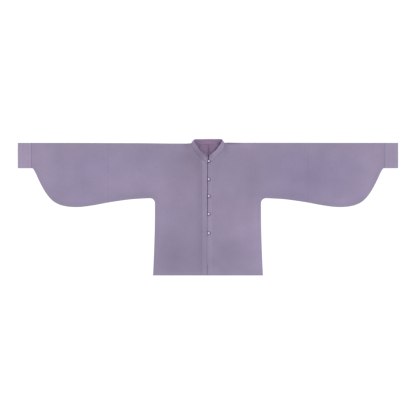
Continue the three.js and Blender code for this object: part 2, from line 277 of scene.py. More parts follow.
# Broad places where the dye looks bluer, or pinker where the amount is below 0.
HUES = [
    Spot(-890, -60, 60, 70, -3.6),
    Spot(-640, -20, 80, 22, -2.2),
    Spot(-560, -105, 100, 50, 3.0),
    Spot(-650, -250, 90, 50, 1.5),
    Spot(-320, -110, 70, 45, 3.0),
    Spot(-240, -240, 50, 50, -1.5),
    Spot(-75, -120, 60, 120, -2.6),
    Spot(150, -350, 70, 70, -3.2),
    Spot(235, -30, 60, 30, -2.0),
    Spot(490, -190, 150, 110, 5.0),
    Spot(640, -130, 120, 130, 2.5),
    Spot(400, -110, 60, 50, 2.0),
    Spot(670, -20, 110, 25, -4.0),
    Spot(80, -30, 40, 30, -1.6),
    Spot(0, -290, 60, 50, -1.8),
    Spot(840, -120, 50, 90, -2.5),
]
# A tone or hue past this, either way, shows no more.
MOST_TONE = 5.0

# How light the cloth is near a sewn edge, a hem, a cuff's end and the collar's top edge: millimetres from it,
# and the factor. This is painted light and shade beside the ridges and grooves of turnings and rows of
# stitches.
EDGE_PROFILE = [(0, 0.98), (5, 0.99), (8.5, 0.975), (11.5, 1.015), (14.5, 0.965), (17.5, 0.965), (20.5, 1.01),
                (24, 0.985), (30, 1.0)]
HEM_PROFILE = [(0, 0.96), (4, 1.0), (8, 1.01), (12.5, 1.045), (16, 1.0), (20, 1.0), (26, 1.015), (32, 1.0)]
CUFF_PROFILE = [(0, 0.96), (4, 1.02), (8, 1.03), (13, 0.975), (15.5, 1.05), (18, 1.1), (20.5, 1.0),
                (23, 0.965), (28, 1.0), (42, 1.0), (48, 0.97), (53, 0.98), (58, 1.0)]
TOP_PROFILE = [(0, 1.02), (3.5, 1.02), (5.5, 0.9), (7.5, 1.0)]
# A distance that is past every profile, for a piece without that edge.
FAR = 100.0

# ---- How the pieces are made -------------------------------------------------------------------------
SIDES = [("right", -1), ("left", 1)]

# Where the first rows of points lie in from a folded or sewn edge, an open edge and a joining seam.
CLOSED = [0, 0.25, 0.8, 1.7, 4, 9]
OPEN = [0, 1.5, 4]
JOINED = [0, 1.5, 3.5, 7]
BELOW_UNDERARM = [0, 4]
# How many more there are between them.
UPPER_ROWS = 50
LOWER_ROWS = 58
NECK_COLUMNS = 15
CHEST_COLUMNS = 26
ARM_COLUMNS = 34
SLEEVE_COLUMNS = 56
SLEEVE_ROWS = 48
CUFF_COLUMNS = 12
CUFF_ROWS = 22
BAND_COLUMNS = 8
BAND_ROWS = 130
# Points along the lines of the outline: a sleeve's lower edge, the neckline, the collar, the underarm's
# quarter round, the side above the slit and the slit.
SLEEVE_POINTS = 90
NECK_POINTS = 240
COLLAR_POINTS = 721
UNDERARM_POINTS = 9
SIDE_POINTS = 5
SLIT_POINTS = 6

# Points closer than this are one point, in cloth and in cord.
CLOTH_WELD = 0.02
CORD_WELD = 0.001

# Stitches: the gap between two, half the width and height of the thread, and how high it lies on the cloth.
STITCH_GAP = 1.2
THREAD_HALF_WIDTH = 0.35
THREAD_HALF_HEIGHT = 0.22
THREAD_LIFT = 0.05
# The hem's row starts beside the front band, turns up beside the slit and ends above it.
HEM_TURNING = 14.0
SLIT_TURNING = 18.0
BESIDE_BAND = 1.0
PAST_SLIT = 30.0
HEM_POINTS = 60
# The cuff's row lies in from its open end, and stops short of the fold and of the lower edge.
CUFF_TURNING = 20.0
CUFF_ROW_INSET = 3.0
CUFF_POINTS = 40

# A front band: its rows in from an edge, its gap below the neckline, its wall, how far it lies above the
# cloth and how far it rises from there, and how round its edge at the opening is.
BAND_RIM = [0, 0.3, 0.9, 2.5]
BAND_TOP_GAP = 0.4
BAND_WALL = 0.3
BAND_LIFT = 0.15
BAND_RISE = 1.25
BAND_ROUND = 0.7
# Its row of stitches lies in from the sewn edge, from below the neckline to above the hem.
BAND_TURNING = 2.2
BAND_ROW_TOP = 3.0
BAND_ROW_END = 2.0
BAND_POINTS = 160
# The edge at the opening, the sewn edge, and how softly the band rises from the sewn edge.
Band = namedtuple("Band", "word opening sewn softness")
BANDS = [
    Band("right", OPENING_RIGHT, RIGHT_BAND_EDGE, 0.7),
    Band("left", OPENING_LEFT, LEFT_BAND_EDGE, 6.0),
]

# The collar's rows, as shares of its height, and its columns, as shares of its length. Its stitches lie this
# far below the top edge.
COLLAR_ROWS = np.array([
    0, 0.03, 0.1, 0.2, 0.32, 0.44, 0.56, 0.68, 0.74, 0.8, 0.86, 0.91, 0.95, 0.98, 0.993, 1.0])
COLLAR_COLUMNS = np.linspace(0, 1, 181)
COLLAR_TURNING = 5.5

# Pearls, with the radii and height of the shank, and loops, with their tails: how far each point lies from
# the end, and how far below the rest of the loop.
FASTENINGS = range(1, 6)
PEARL_SEGMENTS = 40
PEARL_RINGS = 24
SHANK_SEGMENTS = 20
SHANK_FOOT = 1.7
SHANK_TOP = 1.3
SHANK_HEIGHT = 2.0
LOOP_TAIL = [(0.9, 2.8), (1.2, 1.4), (1.9, 0.4), (3.0, 0)]
LOOP_POINTS = 17

# The stage, in metres: a lit table top, an even sky, a high soft sun and a camera straight above the place
# where Y is VIEW_MIDDLE, in millimetres.
TABLE_REACH = 20.0
TABLE_GLOW = 0.66
SKY_STRENGTH = 0.62
SUN_STRENGTH = 1.66
SUN_SPREAD = math.radians(28)
SUN_HEIGHT = math.radians(68)
SUN_TURN = math.radians(14)
FOCAL_LENGTH = 100
SENSOR_WIDTH = 36
VIEW_WIDTH = 2.08
VIEW_MIDDLE = -324.0
VIEW_DEPTH = 50


def linear(hex_colour):
    """An sRGB hex colour as linear red, green, blue and alpha."""
    channels = [int(hex_colour[i:i + 2], 16) / 255 for i in (1, 3, 5)]
    return tuple(c / 12.92 if c <= 0.04045 else ((c + 0.055) / 1.055) ** 2.4 for c in channels) + (1.0,)


# ---- What a user may change --------------------------------------------------------------------------
IN_LENGTH = {"subtype": "DISTANCE", "unit": "LENGTH"}
IN_COLOUR = {"subtype": "COLOR", "size": 4, "min": 0.0, "max": 1.0}


class JacketSizes(bpy.types.PropertyGroup):
    """The sizes of the cloth and its trimmings"""

    cloth: bpy.props.FloatProperty(
        name="Cloth thickness", description="Thickness of one layer of cloth",
        default=0.9 * MM, min=0.3 * MM, max=1.2 * MM, **IN_LENGTH)
    fold_strength: bpy.props.FloatProperty(
        name="Fold strength", description="How deep the soft folds are, against their listed lift",
        default=1.25, min=0.0, max=2.0)
    ripple: bpy.props.FloatProperty(
        name="Ripple height", description="Height of the small uneven ripples left after pressing",
        default=0.28 * MM, min=0.0, max=1.0 * MM, **IN_LENGTH)
    collar: bpy.props.FloatProperty(
        name="Collar thickness", description="Thickness of the stiffened collar band",
        default=1.8 * MM, min=1.0 * MM, max=2.0 * MM, **IN_LENGTH)
    stitch: bpy.props.FloatProperty(
        name="Stitch length", description="Length of one stitch of the seams that show",
        default=3.2 * MM, min=1.5 * MM, max=6.0 * MM, **IN_LENGTH)
    cord: bpy.props.FloatProperty(
        name="Loop cord", description="Diameter of the rolled cord of the button loops",
        default=2.2 * MM, min=1.0 * MM, max=3.0 * MM, **IN_LENGTH)


class JacketColours(bpy.types.PropertyGroup):
    """The colours of the cloth, the pearls and the thread"""

    cloth: bpy.props.FloatVectorProperty(
        name="Cloth", description="Colour of the body and sleeves",
        default=linear("#8E839D"), **IN_COLOUR)
    # The bands are the body's crepe, coloured a shade lighter as painted light.
    band: bpy.props.FloatVectorProperty(
        name="Front bands", description="Colour of the bands down the opening",
        default=linear("#9186A0"), **IN_COLOUR)
    # The collar's outer face is coloured lighter than the body's crepe as painted light.
    collar: bpy.props.FloatVectorProperty(
        name="Collar", description="Colour of the collar's outer face",
        default=linear("#968AA5"), **IN_COLOUR)
    # The cuffs are coloured lighter than the body's crepe as painted light.
    cuff: bpy.props.FloatVectorProperty(
        name="Cuffs", description="Colour of the cuffs",
        default=linear("#978BA6"), **IN_COLOUR)
    pearl: bpy.props.FloatVectorProperty(
        name="Pearls", description="Body colour of the pearls",
        default=linear("#E2DAE3"), **IN_COLOUR)
    # The loops are rolled from cloth; their darker colour is painted shade round the pearls.
    cord: bpy.props.FloatVectorProperty(
        name="Loops", description="Colour of the cord loops",
        default=linear("#6B5F75"), **IN_COLOUR)
    # The wrong side is redder than the face of the cloth, and coloured darker as painted shade inside the
    # neck.
    inside: bpy.props.FloatVectorProperty(
        name="Wrong side", description="Colour of the inner side of the cloth, seen through the neck",
        default=linear("#846F8C"), **IN_COLOUR)
    # The collar's inner face is pinker than its outer face, and coloured lighter as painted light inside the
    # back of the neck.
    collar_inside: bpy.props.FloatVectorProperty(
        name="Collar's inner face", description="Colour of the face of the collar that lies to the neck",
        default=linear("#A088AA"), **IN_COLOUR)
    thread: bpy.props.FloatVectorProperty(
        name="Thread", description="Colour of the sewing thread",
        default=linear("#9A8FA9"), **IN_COLOUR)


def settings():
    """The sizes and the colours that are set on the scene."""
    return bpy.context.scene.jacket_sizes, bpy.context.scene.jacket_colours


# ---- Small helpers -----------------------------------------------------------------------------------
def place(x, y, z):
    """Millimetres in the cut's own frame as metres in the part's frame."""
    return Vector((x * MM, (y + SHOULDER) * MM, z * MM))


def spaced(start, end, near, count, far):
    """Positions from start to end: the near offsets, then count evenly spaced ones, then the far offsets."""
    way = 1 if end > start else -1
    first = [start + way * gap for gap in near]
    last = [end - way * gap for gap in reversed(far)]
    step = (last[0] - first[-1]) / (count + 1)
    return first + [first[-1] + step * (i + 1) for i in range(count)] + last


def curve_through(points, t):
    """A smooth curve through the points, read at t from 0 to 1."""
    points = np.asarray(points, float)
    last = len(points) - 1
    where = np.clip(np.asarray(t, float) * last, 0, last - 1e-9)
    index = where.astype(int)
    part = (where - index)[..., None]
    before = points[np.maximum(index - 1, 0)]
    start, end = points[index], points[index + 1]
    after = points[np.minimum(index + 2, last)]
    leave, arrive = (end - before) / 2, (after - start) / 2
    return (
        (2 * part**3 - 3 * part**2 + 1) * start
        + (part**3 - 2 * part**2 + part) * leave
        + (3 * part**2 - 2 * part**3) * end
        + (part**3 - part**2) * arrive
    )


def distance_to(points, x, y):
    """Distance from each place (x, y) to an open line through the points."""
    nearest = np.full(np.shape(x), np.inf)
    for (x1, y1), (x2, y2) in zip(points[:-1], points[1:]):
        dx, dy = x2 - x1, y2 - y1
        along = np.clip(((x - x1) * dx + (y - y1) * dy) / (dx * dx + dy * dy + 1e-12), 0, 1)
        nearest = np.minimum(nearest, np.hypot(x - x1 - along * dx, y - y1 - along * dy))
    return nearest


def quarter_round(share):
    """How far a quarter of a circle has risen, from 0 to 1, at a share of its width."""
    return np.sqrt(1 - (1 - np.clip(share, 0, 1)) ** 2)


# ---- Outline -----------------------------------------------------------------------------------------
SLEEVE_CURVE = curve_through(
    [(across, -depth) for across, depth in SLEEVE_EDGE], np.linspace(0, 1, SLEEVE_POINTS))
UNDERARM_CORNER = HALF_CHEST + UNDERARM_RADIUS
# The fold and the sewn edge are taken to here, because the cuff's open end is none of them.
PAST_CUFF = HALF_SPAN + 50


def collar_curve(key):
    """The seam or the top edge of the whole collar, from the right front end round to the left one."""
    leans = [row["lean"] if key == "edge" else 0 for row in COLLAR_SECTIONS]
    listed = [row[key] for row in COLLAR_SECTIONS]
    half = [(x, y + lean, z) for (x, y, z), lean in zip(listed, leans)]
    mirrored = [(-x, y - lean, z) for (x, y, z), lean in zip(listed, leans)][:-1]
    return np.array([COLLAR_RIGHT_END[key], *mirrored, *half[::-1], COLLAR_LEFT_END[key]], float)


NECK_CURVE = curve_through(collar_curve("seam"), np.linspace(0, 1, NECK_POINTS))
NECK_RIGHT = int(np.argmin(NECK_CURVE[:, X]))
NECK_LEFT = int(np.argmax(NECK_CURVE[:, X]))
NECK_FRONT = np.concatenate([NECK_CURVE[:NECK_RIGHT + 1][::-1], NECK_CURVE[NECK_LEFT:][::-1]])
NECK_BACK = NECK_CURVE[NECK_RIGHT:NECK_LEFT + 1]
HALF_NECK = float(NECK_CURVE[NECK_LEFT, X])


def sleeve_bottom(across):
    """Y of the lower edge at a distance across, from the underarm corner to the cuff end."""
    across = np.asarray(across, float)
    inner = np.clip(UNDERARM_CORNER - across, 0, UNDERARM_RADIUS)
    arc = UNDERARM_Y + np.sqrt(UNDERARM_RADIUS**2 - inner**2)
    curve = np.interp(across, SLEEVE_CURVE[:, X], SLEEVE_CURVE[:, Y])
    return np.where(across < UNDERARM_CORNER, arc, np.where(across > SLEEVE_CURVE[-1, X], -CUFF_DEPTH, curve))


def side_edge(y):
    """Distance from the centre to the side edge below the underarm. It flares towards the hem."""
    below = np.clip((-np.asarray(y, float) - FLARE_DEPTH) / (LENGTH - FLARE_DEPTH), 0, 1)
    return HALF_CHEST + (HALF_HEM - HALF_CHEST) * below**FLARE_POWER


def neckline(x, layer):
    """Y of the neckline: the low front curve, or the shallow back one."""
    part = NECK_FRONT if layer == "front" else NECK_BACK
    return np.where(np.abs(x) < HALF_NECK, np.interp(x, part[:, X], part[:, Y]), 0.0)


def closing(y):
    """How far each front edge has moved towards the other."""
    depths, moves = zip(*OPENING_CLOSES)
    return np.interp(-np.asarray(y, float), depths, moves)


def underarm_turns():
    """Angles round the underarm, from the side edge to the sleeve's lower edge."""
    return np.linspace(math.pi, math.pi / 2, UNDERARM_POINTS)


def sewn_edge():
    """The sewn side and underside of one half, from the slit up, round the underarm and past the cuff."""
    arc = [(UNDERARM_CORNER + UNDERARM_RADIUS * math.cos(a),
            -UNDERARM_DEPTH - UNDERARM_RADIUS * (1 - math.sin(a))) for a in underarm_turns()]
    side = [(float(side_edge(y)), y) for y in np.linspace(SLIT - LENGTH, -FLARE_DEPTH, SIDE_POINTS)]
    return [*side, *arc, *map(tuple, SLEEVE_CURVE[1:]), (PAST_CUFF, -CUFF_DEPTH)]


FOLD_LINE = [(HALF_NECK, 0), (PAST_CUFF, 0)]
SEAM_LINE = sewn_edge()
SLIT_LINE = [(float(side_edge(y)), y) for y in np.linspace(SLIT - LENGTH, -LENGTH, SLIT_POINTS)]
HEM_LINE = SLIT_LINE + [(-HALF_HEM, -LENGTH)]


def settled(x, y):
    """Y of the cloth once laid down: the shoulder fold isn't quite straight."""
    along, moves = zip(*SHOULDER_LINE)
    return y + np.interp(x, along, moves) * np.exp(np.minimum(y, 0) / SHOULDER_REACH)


def edge_distances(x, y):
    """Distances to the shoulder fold, to the sewn underside and side, and to the hem and slit."""
    across = np.abs(x)
    return [distance_to(line, across, y) for line in (FOLD_LINE, SEAM_LINE, HEM_LINE)]


# ---- How high the cloth lies, and its tone -----------------------------------------------------------
def ripples(x, y, ripple):
    """Smooth uneven ripples, up to about their height either way."""
    width, seed, height = ripple
    flat = [noise.noise(Vector((px / width, py / width, seed))) for px, py in zip(np.ravel(x), np.ravel(y))]
    return np.array(flat).reshape(np.shape(x)) * NOISE_TO_ONE * height


def cloth_top(x, y):
    """Height of the upper layer's outer face."""
    sizes, _ = settings()
    fold, seam, hem = edge_distances(x, y)
    neck_side = np.where(np.abs(x) < HALF_NECK, -y, np.inf)
    inside = np.minimum(np.minimum(fold, seam), np.minimum(hem, neck_side))
    loft = np.full(np.shape(x), LOFT)
    for soft in FOLDS:
        away = distance_to([soft.start, soft.end], x, y) / soft.width
        loft = loft + sizes.fold_strength * soft.lift * np.exp(-away**2)
    free = 1 - np.exp(-((np.abs(x) / HELD_FLAT) ** 4))
    loft = loft + free * sizes.ripple / MM * (ripples(x, y, LARGE_RIPPLE) + ripples(x, y, SMALL_RIPPLE))
    height = EDGE_HEIGHT + loft * (1 - np.exp(-np.maximum(inside, 0) / LOFT_REACH))
    pucker = np.exp(-seam / PUCKER_REACH) * ripples(x, y, PUCKER)
    height = height + pucker * (1 - np.exp(-seam / PUCKER_FROM))
    for seam_at, dip in SEAM_DIPS:
        height = height - dip * np.exp(-(((np.abs(x) - seam_at) / DIP_WIDTH) ** 2))
    height = np.maximum(height, LEAST_HEIGHT)
    return EDGE_MIDDLE + (height - EDGE_MIDDLE) * quarter_round(np.minimum(fold, seam) / EDGE_ROUND)


def cloth_under(x, y):
    """Height of the lower layer's outer face, which lies on the table."""
    fold, seam, _ = edge_distances(x, y)
    return EDGE_MIDDLE - (EDGE_MIDDLE - TABLE_GAP) * quarter_round(np.minimum(fold, seam) / EDGE_ROUND)


def spotted(x, y, spots):
    """The sum at each (x, y) of soft-edged spots."""
    total = np.zeros(np.shape(x))
    for spot in spots:
        away = ((x - spot.x) / spot.reach_x) ** 2 + ((y - spot.y) / spot.reach_y) ** 2
        total = total + spot.amount * np.exp(-away)
    return total


def painted_shading_and_mottle(x, y, spots=PAINTED_SHADING):
    """The broad painted light and shade, with a random mottle, in tenths of the cloth's own tone."""
    return spotted(x, y, spots) + ripples(x, y, TONE_RIPPLE)


# ---- Materials ---------------------------------------------------------------------------------------
# At a scale of 1, a wave pattern repeats after this many metres.
WAVE_PERIOD = 0.314


def add_node(tree, kind, output, inputs=None, stops=None, **node_settings):
    """Adds a node and gives one of its outputs. Its inputs are values, or other nodes' outputs.

    The stops of a colour ramp are shares from 0 to 1, each with its colour.
    """
    made = tree.nodes.new("ShaderNode" + kind)
    for name, value in node_settings.items():
        setattr(made, name, value)
    for name, value in (inputs or {}).items():
        if isinstance(value, bpy.types.NodeSocket):
            tree.links.new(value, made.inputs[name])
        else:
            made.inputs[name].default_value = value
    if stops:
        points = made.color_ramp.elements
        while len(points) < len(stops):
            points.new(0.5)
        for point, (at, colour) in zip(points, stops):
            point.position = at
            point.color = colour
    return made.outputs[output]


def new_material(name, **sockets):
    """A material with one Principled shader, and the sockets that are the same all over it.

    A material that is there already comes without its nodes, which need nothing more.
    """
    material = bpy.data.materials.get(name)
    if material:
        return material, None, None
    material = bpy.data.materials.new(name)
    material.use_nodes = True
    tree = material.node_tree
    shader = tree.nodes["Principled BSDF"]
    for socket, value in sockets.items():
        shader.inputs[socket.replace("_", " ")].default_value = value
    return material, tree, shader


def weighted(colour, red, green, blue):
    """The colour with each channel times its own factor."""
    return (colour[0] * red, colour[1] * green, colour[2] * blue, 1.0)


def tinted(colour, factor, warm=0.0):
    """The colour made lighter or darker, and warmer."""
    return weighted(colour, factor * (1 + warm), factor, factor * (1 - warm * 0.5))


def shade_beside(tree, attribute, stops):
    """The painted light and shade of the cloth at a distance kept in the mesh, drawn through the stops of a
    profile.

    A ramp holds no more than 1, so the factors are halved in it and doubled after it.
    """
    reach = float(stops[-1][0])
    distance = add_node(tree, "Attribute", "Fac", attribute_name=attribute)
    share = add_node(tree, "MapRange", "Result", {"Value": distance, "From Max": reach})
    greys = [(at / reach, (factor / 2, factor / 2, factor / 2, 1.0)) for at, factor in stops]
    halved = add_node(tree, "ValToRGB", "Color", {"Fac": share}, greys)
    return add_node(tree, "Math", 0, {0: halved, 1: 2.0}, operation="MULTIPLY")


def cloth_material(name, colour, hem_stops=HEM_PROFILE):
    """Plain-woven polyester crepe, dyed lilac and pressed: matt, with a faint sheen at a slant.

    Threads of 0.3 mm are far below what shows, so the weave is drawn at 1.6 mm, as a shallow bump. Uneven
    tones 110 mm across are what pressing leaves. The broader darker and lighter places kept in the mesh as
    tone are painted light and shade, and the places where the dye looks bluer or pinker are kept as hue.
    Turnings and seams show as slight ridges, which read the distances kept in the mesh in millimetres, with
    painted light and shade beside them.
    """
    material, tree, shader = new_material(
        name, Roughness=0.82, Sheen_Weight=0.12, Sheen_Roughness=0.45, Specular_IOR_Level=0.25)
    if tree is None:
        return material
    place_of = add_node(tree, "TexCoord", "Object")
    tone, hue, join_mm = (
        add_node(tree, "Attribute", "Fac", attribute_name=kept) for kept in ("tone", "hue", "join_mm"))
    broad = add_node(tree, "TexNoise", "Fac", {
        "Vector": place_of, "Scale": 1 / (110 * MM), "Detail": 2.0, "Roughness": 0.5})
    fleck = add_node(tree, "TexNoise", "Fac", {
        "Vector": place_of, "Scale": 1 / (9 * MM), "Detail": 3.0, "Roughness": 0.6})
    # 1 at a cuff's seam and at the back's, and 0 from 2.4 mm away.
    join = add_node(tree, "MapRange", "Result", {
        "Value": join_mm, "From Max": 2.4, "To Min": 1.0, "To Max": 0.0}, interpolation_type="SMOOTHSTEP")
    ridges = add_node(tree, "Math", 0, {
        0: shade_beside(tree, "edge_mm", EDGE_PROFILE), 1: shade_beside(tree, "hem_mm", hem_stops),
    }, operation="MULTIPLY")
    light = ridges
    # Fleck and broad are random tones, tone is painted light and shade with a random mottle, and join darkens
    # the seams.
    for source, low, high, at_low, at_high in (
        (fleck, 0.25, 0.75, 0.965, 1.035),
        (broad, 0.3, 0.7, 0.971, 1.029),
        (tone, -MOST_TONE, MOST_TONE, 0.5, 1.5),
        (join, 0.0, 1.0, 1.0, 0.82),
    ):
        factor = add_node(tree, "MapRange", "Result", {
            "Value": source, "From Min": low, "From Max": high, "To Min": at_low, "To Max": at_high})
        light = add_node(tree, "Math", 0, {0: light, 1: factor}, operation="MULTIPLY")
    blueness = add_node(tree, "MapRange", "Result", {
        "Value": hue, "From Min": -MOST_TONE, "From Max": MOST_TONE, "To Min": 0.1, "To Max": 1.1})
    shade = add_node(tree, "Math", 0, {0: broad, 1: -0.2, 2: blueness}, operation="MULTIPLY_ADD")
    pinker, bluer = weighted(colour, 1.026, 0.99, 0.967), weighted(colour, 0.98, 0.985, 1.055)
    dye = add_node(tree, "ValToRGB", "Color", {"Fac": shade}, [(0.0, pinker), (0.5, colour), (1.0, bluer)])
    coloured = add_node(tree, "VectorMath", "Vector", {0: dye, "Scale": light}, operation="SCALE")
    tree.links.new(coloured, shader.inputs["Base Color"])
    warp, weft = (
        add_node(tree, "TexWave", "Fac", {
            "Vector": place_of, "Scale": WAVE_PERIOD / (1.6 * MM), "Distortion": 1.2, "Detail": 1.0,
            "Detail Scale": 2.0}, wave_type="BANDS", bands_direction=axis)
        for axis in ("X", "Y"))
    threads = add_node(tree, "Math", 0, {0: warp, 1: weft}, operation="MULTIPLY")
    relief = add_node(tree, "Math", 0, {0: join, 1: -2.0, 2: threads}, operation="MULTIPLY_ADD")
    raised = add_node(tree, "MapRange", "Result", {
        "Value": ridges, "From Min": 0.9, "From Max": 1.1, "To Min": -4.0, "To Max": 4.0})
    depth = add_node(tree, "Math", 0, {0: relief, 1: raised}, operation="ADD")
    bump = add_node(tree, "Bump", "Normal", {"Height": depth, "Distance": 0.2 * MM, "Strength": 0.5})
    tree.links.new(bump, shader.inputs["Normal"])
    return material


def pearl_material(colour):
    """Cultured pearl: satin white nacre under a clear gloss, with soft clouds a little darker and warmer."""
    material, tree, shader = new_material(
        "pearl nacre", Roughness=0.28, Coat_Weight=0.6, Coat_Roughness=0.08, Specular_IOR_Level=0.5)
    if tree is None:
        return material
    place_of = add_node(tree, "TexCoord", "Object")
    cloud = add_node(tree, "TexNoise", "Fac", {"Vector": place_of, "Scale": 1 / (4 * MM)})
    nacre = add_node(
        tree, "ValToRGB", "Color", {"Fac": cloud}, [(0.35, tinted(colour, 0.93, 0.04)), (0.65, colour)])
    tree.links.new(nacre, shader.inputs["Base Color"])
    return material


def cord_material(colour):
    """Bias-cut cloth rolled into a cord: matt, with slanting turns 2.5 mm apart, with painted shade in the
    grooves and painted light on the crests.
    """
    material, tree, shader = new_material("rolled cloth cord", Roughness=0.85, Sheen_Weight=0.1)
    if tree is None:
        return material
    place_of = add_node(tree, "TexCoord", "Object")
    wave = add_node(tree, "TexWave", "Fac", {
        "Vector": place_of, "Scale": WAVE_PERIOD / (2.5 * MM), "Distortion": 1.0,
    }, wave_type="BANDS", bands_direction="DIAGONAL")
    # Painted shade in the grooves between the turns and painted light on their crests, beside the bump.
    turns = add_node(
        tree, "ValToRGB", "Color", {"Fac": wave}, [(0.0, tinted(colour, 0.8)), (1.0, tinted(colour, 1.1))])
    bump = add_node(tree, "Bump", "Normal", {"Height": wave, "Distance": 0.3 * MM, "Strength": 0.6})
    tree.links.new(turns, shader.inputs["Base Color"])
    tree.links.new(bump, shader.inputs["Normal"])
    return material


def thread_material(colour):
    """Spun polyester sewing thread, a shade lighter than the cloth, with its own small sheen."""
    material, tree, shader = new_material("sewing thread", Roughness=0.6, Sheen_Weight=0.2)
    if tree is None:
        return material
    place_of = add_node(tree, "TexCoord", "Object")
    twist = add_node(tree, "TexNoise", "Fac", {"Vector": place_of, "Scale": 1 / (2 * MM)})
    shade = add_node(
        tree, "ValToRGB", "Color", {"Fac": twist}, [(0.3, tinted(colour, 0.95)), (0.7, tinted(colour, 1.15))])
    tree.links.new(shade, shader.inputs["Base Color"])
    return material


# ---- Making pieces -----------------------------------------------------------------------------------
def add_grid(bm, x, y, z, attributes):
    """A grid of bmesh faces moved to the given millimetre arrays, with its attributes kept on the points."""
    across, down = x.shape[0] - 1, x.shape[1] - 1
    for name in attributes:
        if name not in bm.verts.layers.float:
            bm.verts.layers.float.new(name)
    layers = {name: bm.verts.layers.float[name] for name in attributes}
    # The grid is first 1 wide, so that a point's place on it tells its column and row.
    made = bmesh.ops.create_grid(bm, x_segments=across, y_segments=down, size=0.5)
    for vert in made["verts"]:
        i = round((vert.co.x + 0.5) * across)
        j = round((vert.co.y + 0.5) * down)
        vert.co = place(x[i, j], y[i, j], z[i, j])
        for name, values in attributes.items():
            vert[layers[name]] = values[i, j]


def weld(bm, within):
    """Merges points that are within so many millimetres, and turns the faces all one way."""
    bmesh.ops.remove_doubles(bm, verts=bm.verts, dist=within * MM)
    bmesh.ops.recalc_face_normals(bm, faces=bm.faces)


def face_outwards(bm, rank=lambda vert: vert.co.z):
    """Welds the cloth and turns its faces so that those round the point that ranks highest look up."""
    weld(bm, CLOTH_WELD)
    first = max(bm.verts, key=rank)
    if sum(face.normal.z for face in first.link_faces) < 0:
        bmesh.ops.reverse_faces(bm, faces=bm.faces)


def finish_piece(name, bm, slot, *materials):
    """Makes the bmesh a piece of the part, with its materials."""
    mesh = bpy.data.meshes.new(name)
    bm.to_mesh(mesh)
    bm.free()
    mesh.shade_smooth()
    for material in materials:
        mesh.materials.append(material)
    piece = bpy.data.objects.new(name, mesh)
    bpy.context.scene.collection.objects.link(piece)
    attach(piece, "root")
    return piece


def thicken(piece, thickness):
    """A wall inside the surface. Its inner side takes the piece's second material, where it has one."""
    solid = piece.modifiers.new("cloth wall", "SOLIDIFY")
    solid.thickness = thickness
    solid.offset = -1.0
    solid.use_even_offset = True
    solid.material_offset = len(piece.data.materials) - 1


def add_layer(bm, side, layer, x, y, cuff=False):
    """One layer of cloth, mirrored to its side, with the distances that its seam lines are drawn from."""
    x = x * side
    z = cloth_top(x, y) if layer == "front" else cloth_under(x, y)
    _, seam, hem = edge_distances(x, y)
    across = np.abs(x)
    join = np.abs(across - CUFF_SEAM)
    if layer == "back":
        join = np.minimum(join, np.abs(x - BACK_SEAM))
    if cuff:
        seam, hem = np.full(x.shape, FAR), HALF_SPAN - across
    # The front takes painted light and shade of folds and uneven light, the back painted shadow inside the
    # neck.
    tones, hues = (PAINTED_SHADING, HUES) if layer == "front" else (NECK_PAINTED_SHADING, [])
    add_grid(bm, x, settled(x, y), z, {
        "edge_mm": seam, "hem_mm": hem, "join_mm": join,
        "tone": painted_shading_and_mottle(x, y, tones), "hue": spotted(x, y, hues)})


def torso_columns(start, edge):
    """Distances from the centre, which are the same for front and back beyond the neck."""
    beside_neck = spaced(HALF_NECK, edge, [0], CHEST_COLUMNS, CLOSED)
    return spaced(start, HALF_NECK, OPEN, NECK_COLUMNS, [0]) + beside_neck[1:]


def torso_grid(side, layer):
    """Where the points of half a front or back lie, from the neck to the hem and out to the side edge."""
    if layer == "back":
        start = BACK_GAP
    else:
        start = OPENING_LEFT if side > 0 else -OPENING_RIGHT
    tops = [float(neckline(side * column, layer)) for column in torso_columns(start, HALF_CHEST)]
    upper = [spaced(top, UNDERARM_Y, CLOSED, UPPER_ROWS, CLOSED) for top in tops]
    lower = spaced(UNDERARM_Y, -LENGTH, BELOW_UNDERARM, LOWER_ROWS, OPEN)[1:]
    edges = [HALF_CHEST] * len(upper[0]) + [float(side_edge(height)) for height in lower]
    x = np.array([torso_columns(start, edge) for edge in edges]).T
    y = np.array([row + lower for row in upper])
    if layer == "front":
        x -= closing(y) * np.clip(1 - (x - start) / CLOSING_REACH, 0, 1)
    return x, y


def arm_grid(columns, rows):
    """Where the points of a part of the arm lie, from the shoulder fold to its lower edge."""
    y = np.array([spaced(0.0, float(sleeve_bottom(column)), CLOSED, rows, CLOSED) for column in columns])
    return np.repeat(np.array(columns)[:, None], y.shape[1], axis=1), y


def build_body(side):
    """One half of the body: front and back in one, folded at the shoulder, with a sewn side and a slit."""
    bm = bmesh.new()
    round_underarm = [UNDERARM_CORNER + UNDERARM_RADIUS * math.cos(a) for a in underarm_turns()]
    arm = round_underarm[:-1] + spaced(UNDERARM_CORNER, SLEEVE_SEAM - JOIN_GAP, [0], ARM_COLUMNS, JOINED)
    for layer in ("front", "back"):
        add_layer(bm, side, layer, *torso_grid(side, layer))
        add_layer(bm, side, layer, *arm_grid(arm, UPPER_ROWS))
    face_outwards(bm)
    return bm


def build_tube(side, start, end, columns, rows, cuff=False):
    """A sleeve or cuff: a flat tube, folded at the top and sewn along the bottom, open at both ends."""
    bm = bmesh.new()
    for layer in ("front", "back"):
        add_layer(bm, side, layer, *arm_grid(spaced(start, end, JOINED, columns, JOINED), rows), cuff)
    face_outwards(bm)
    return bm


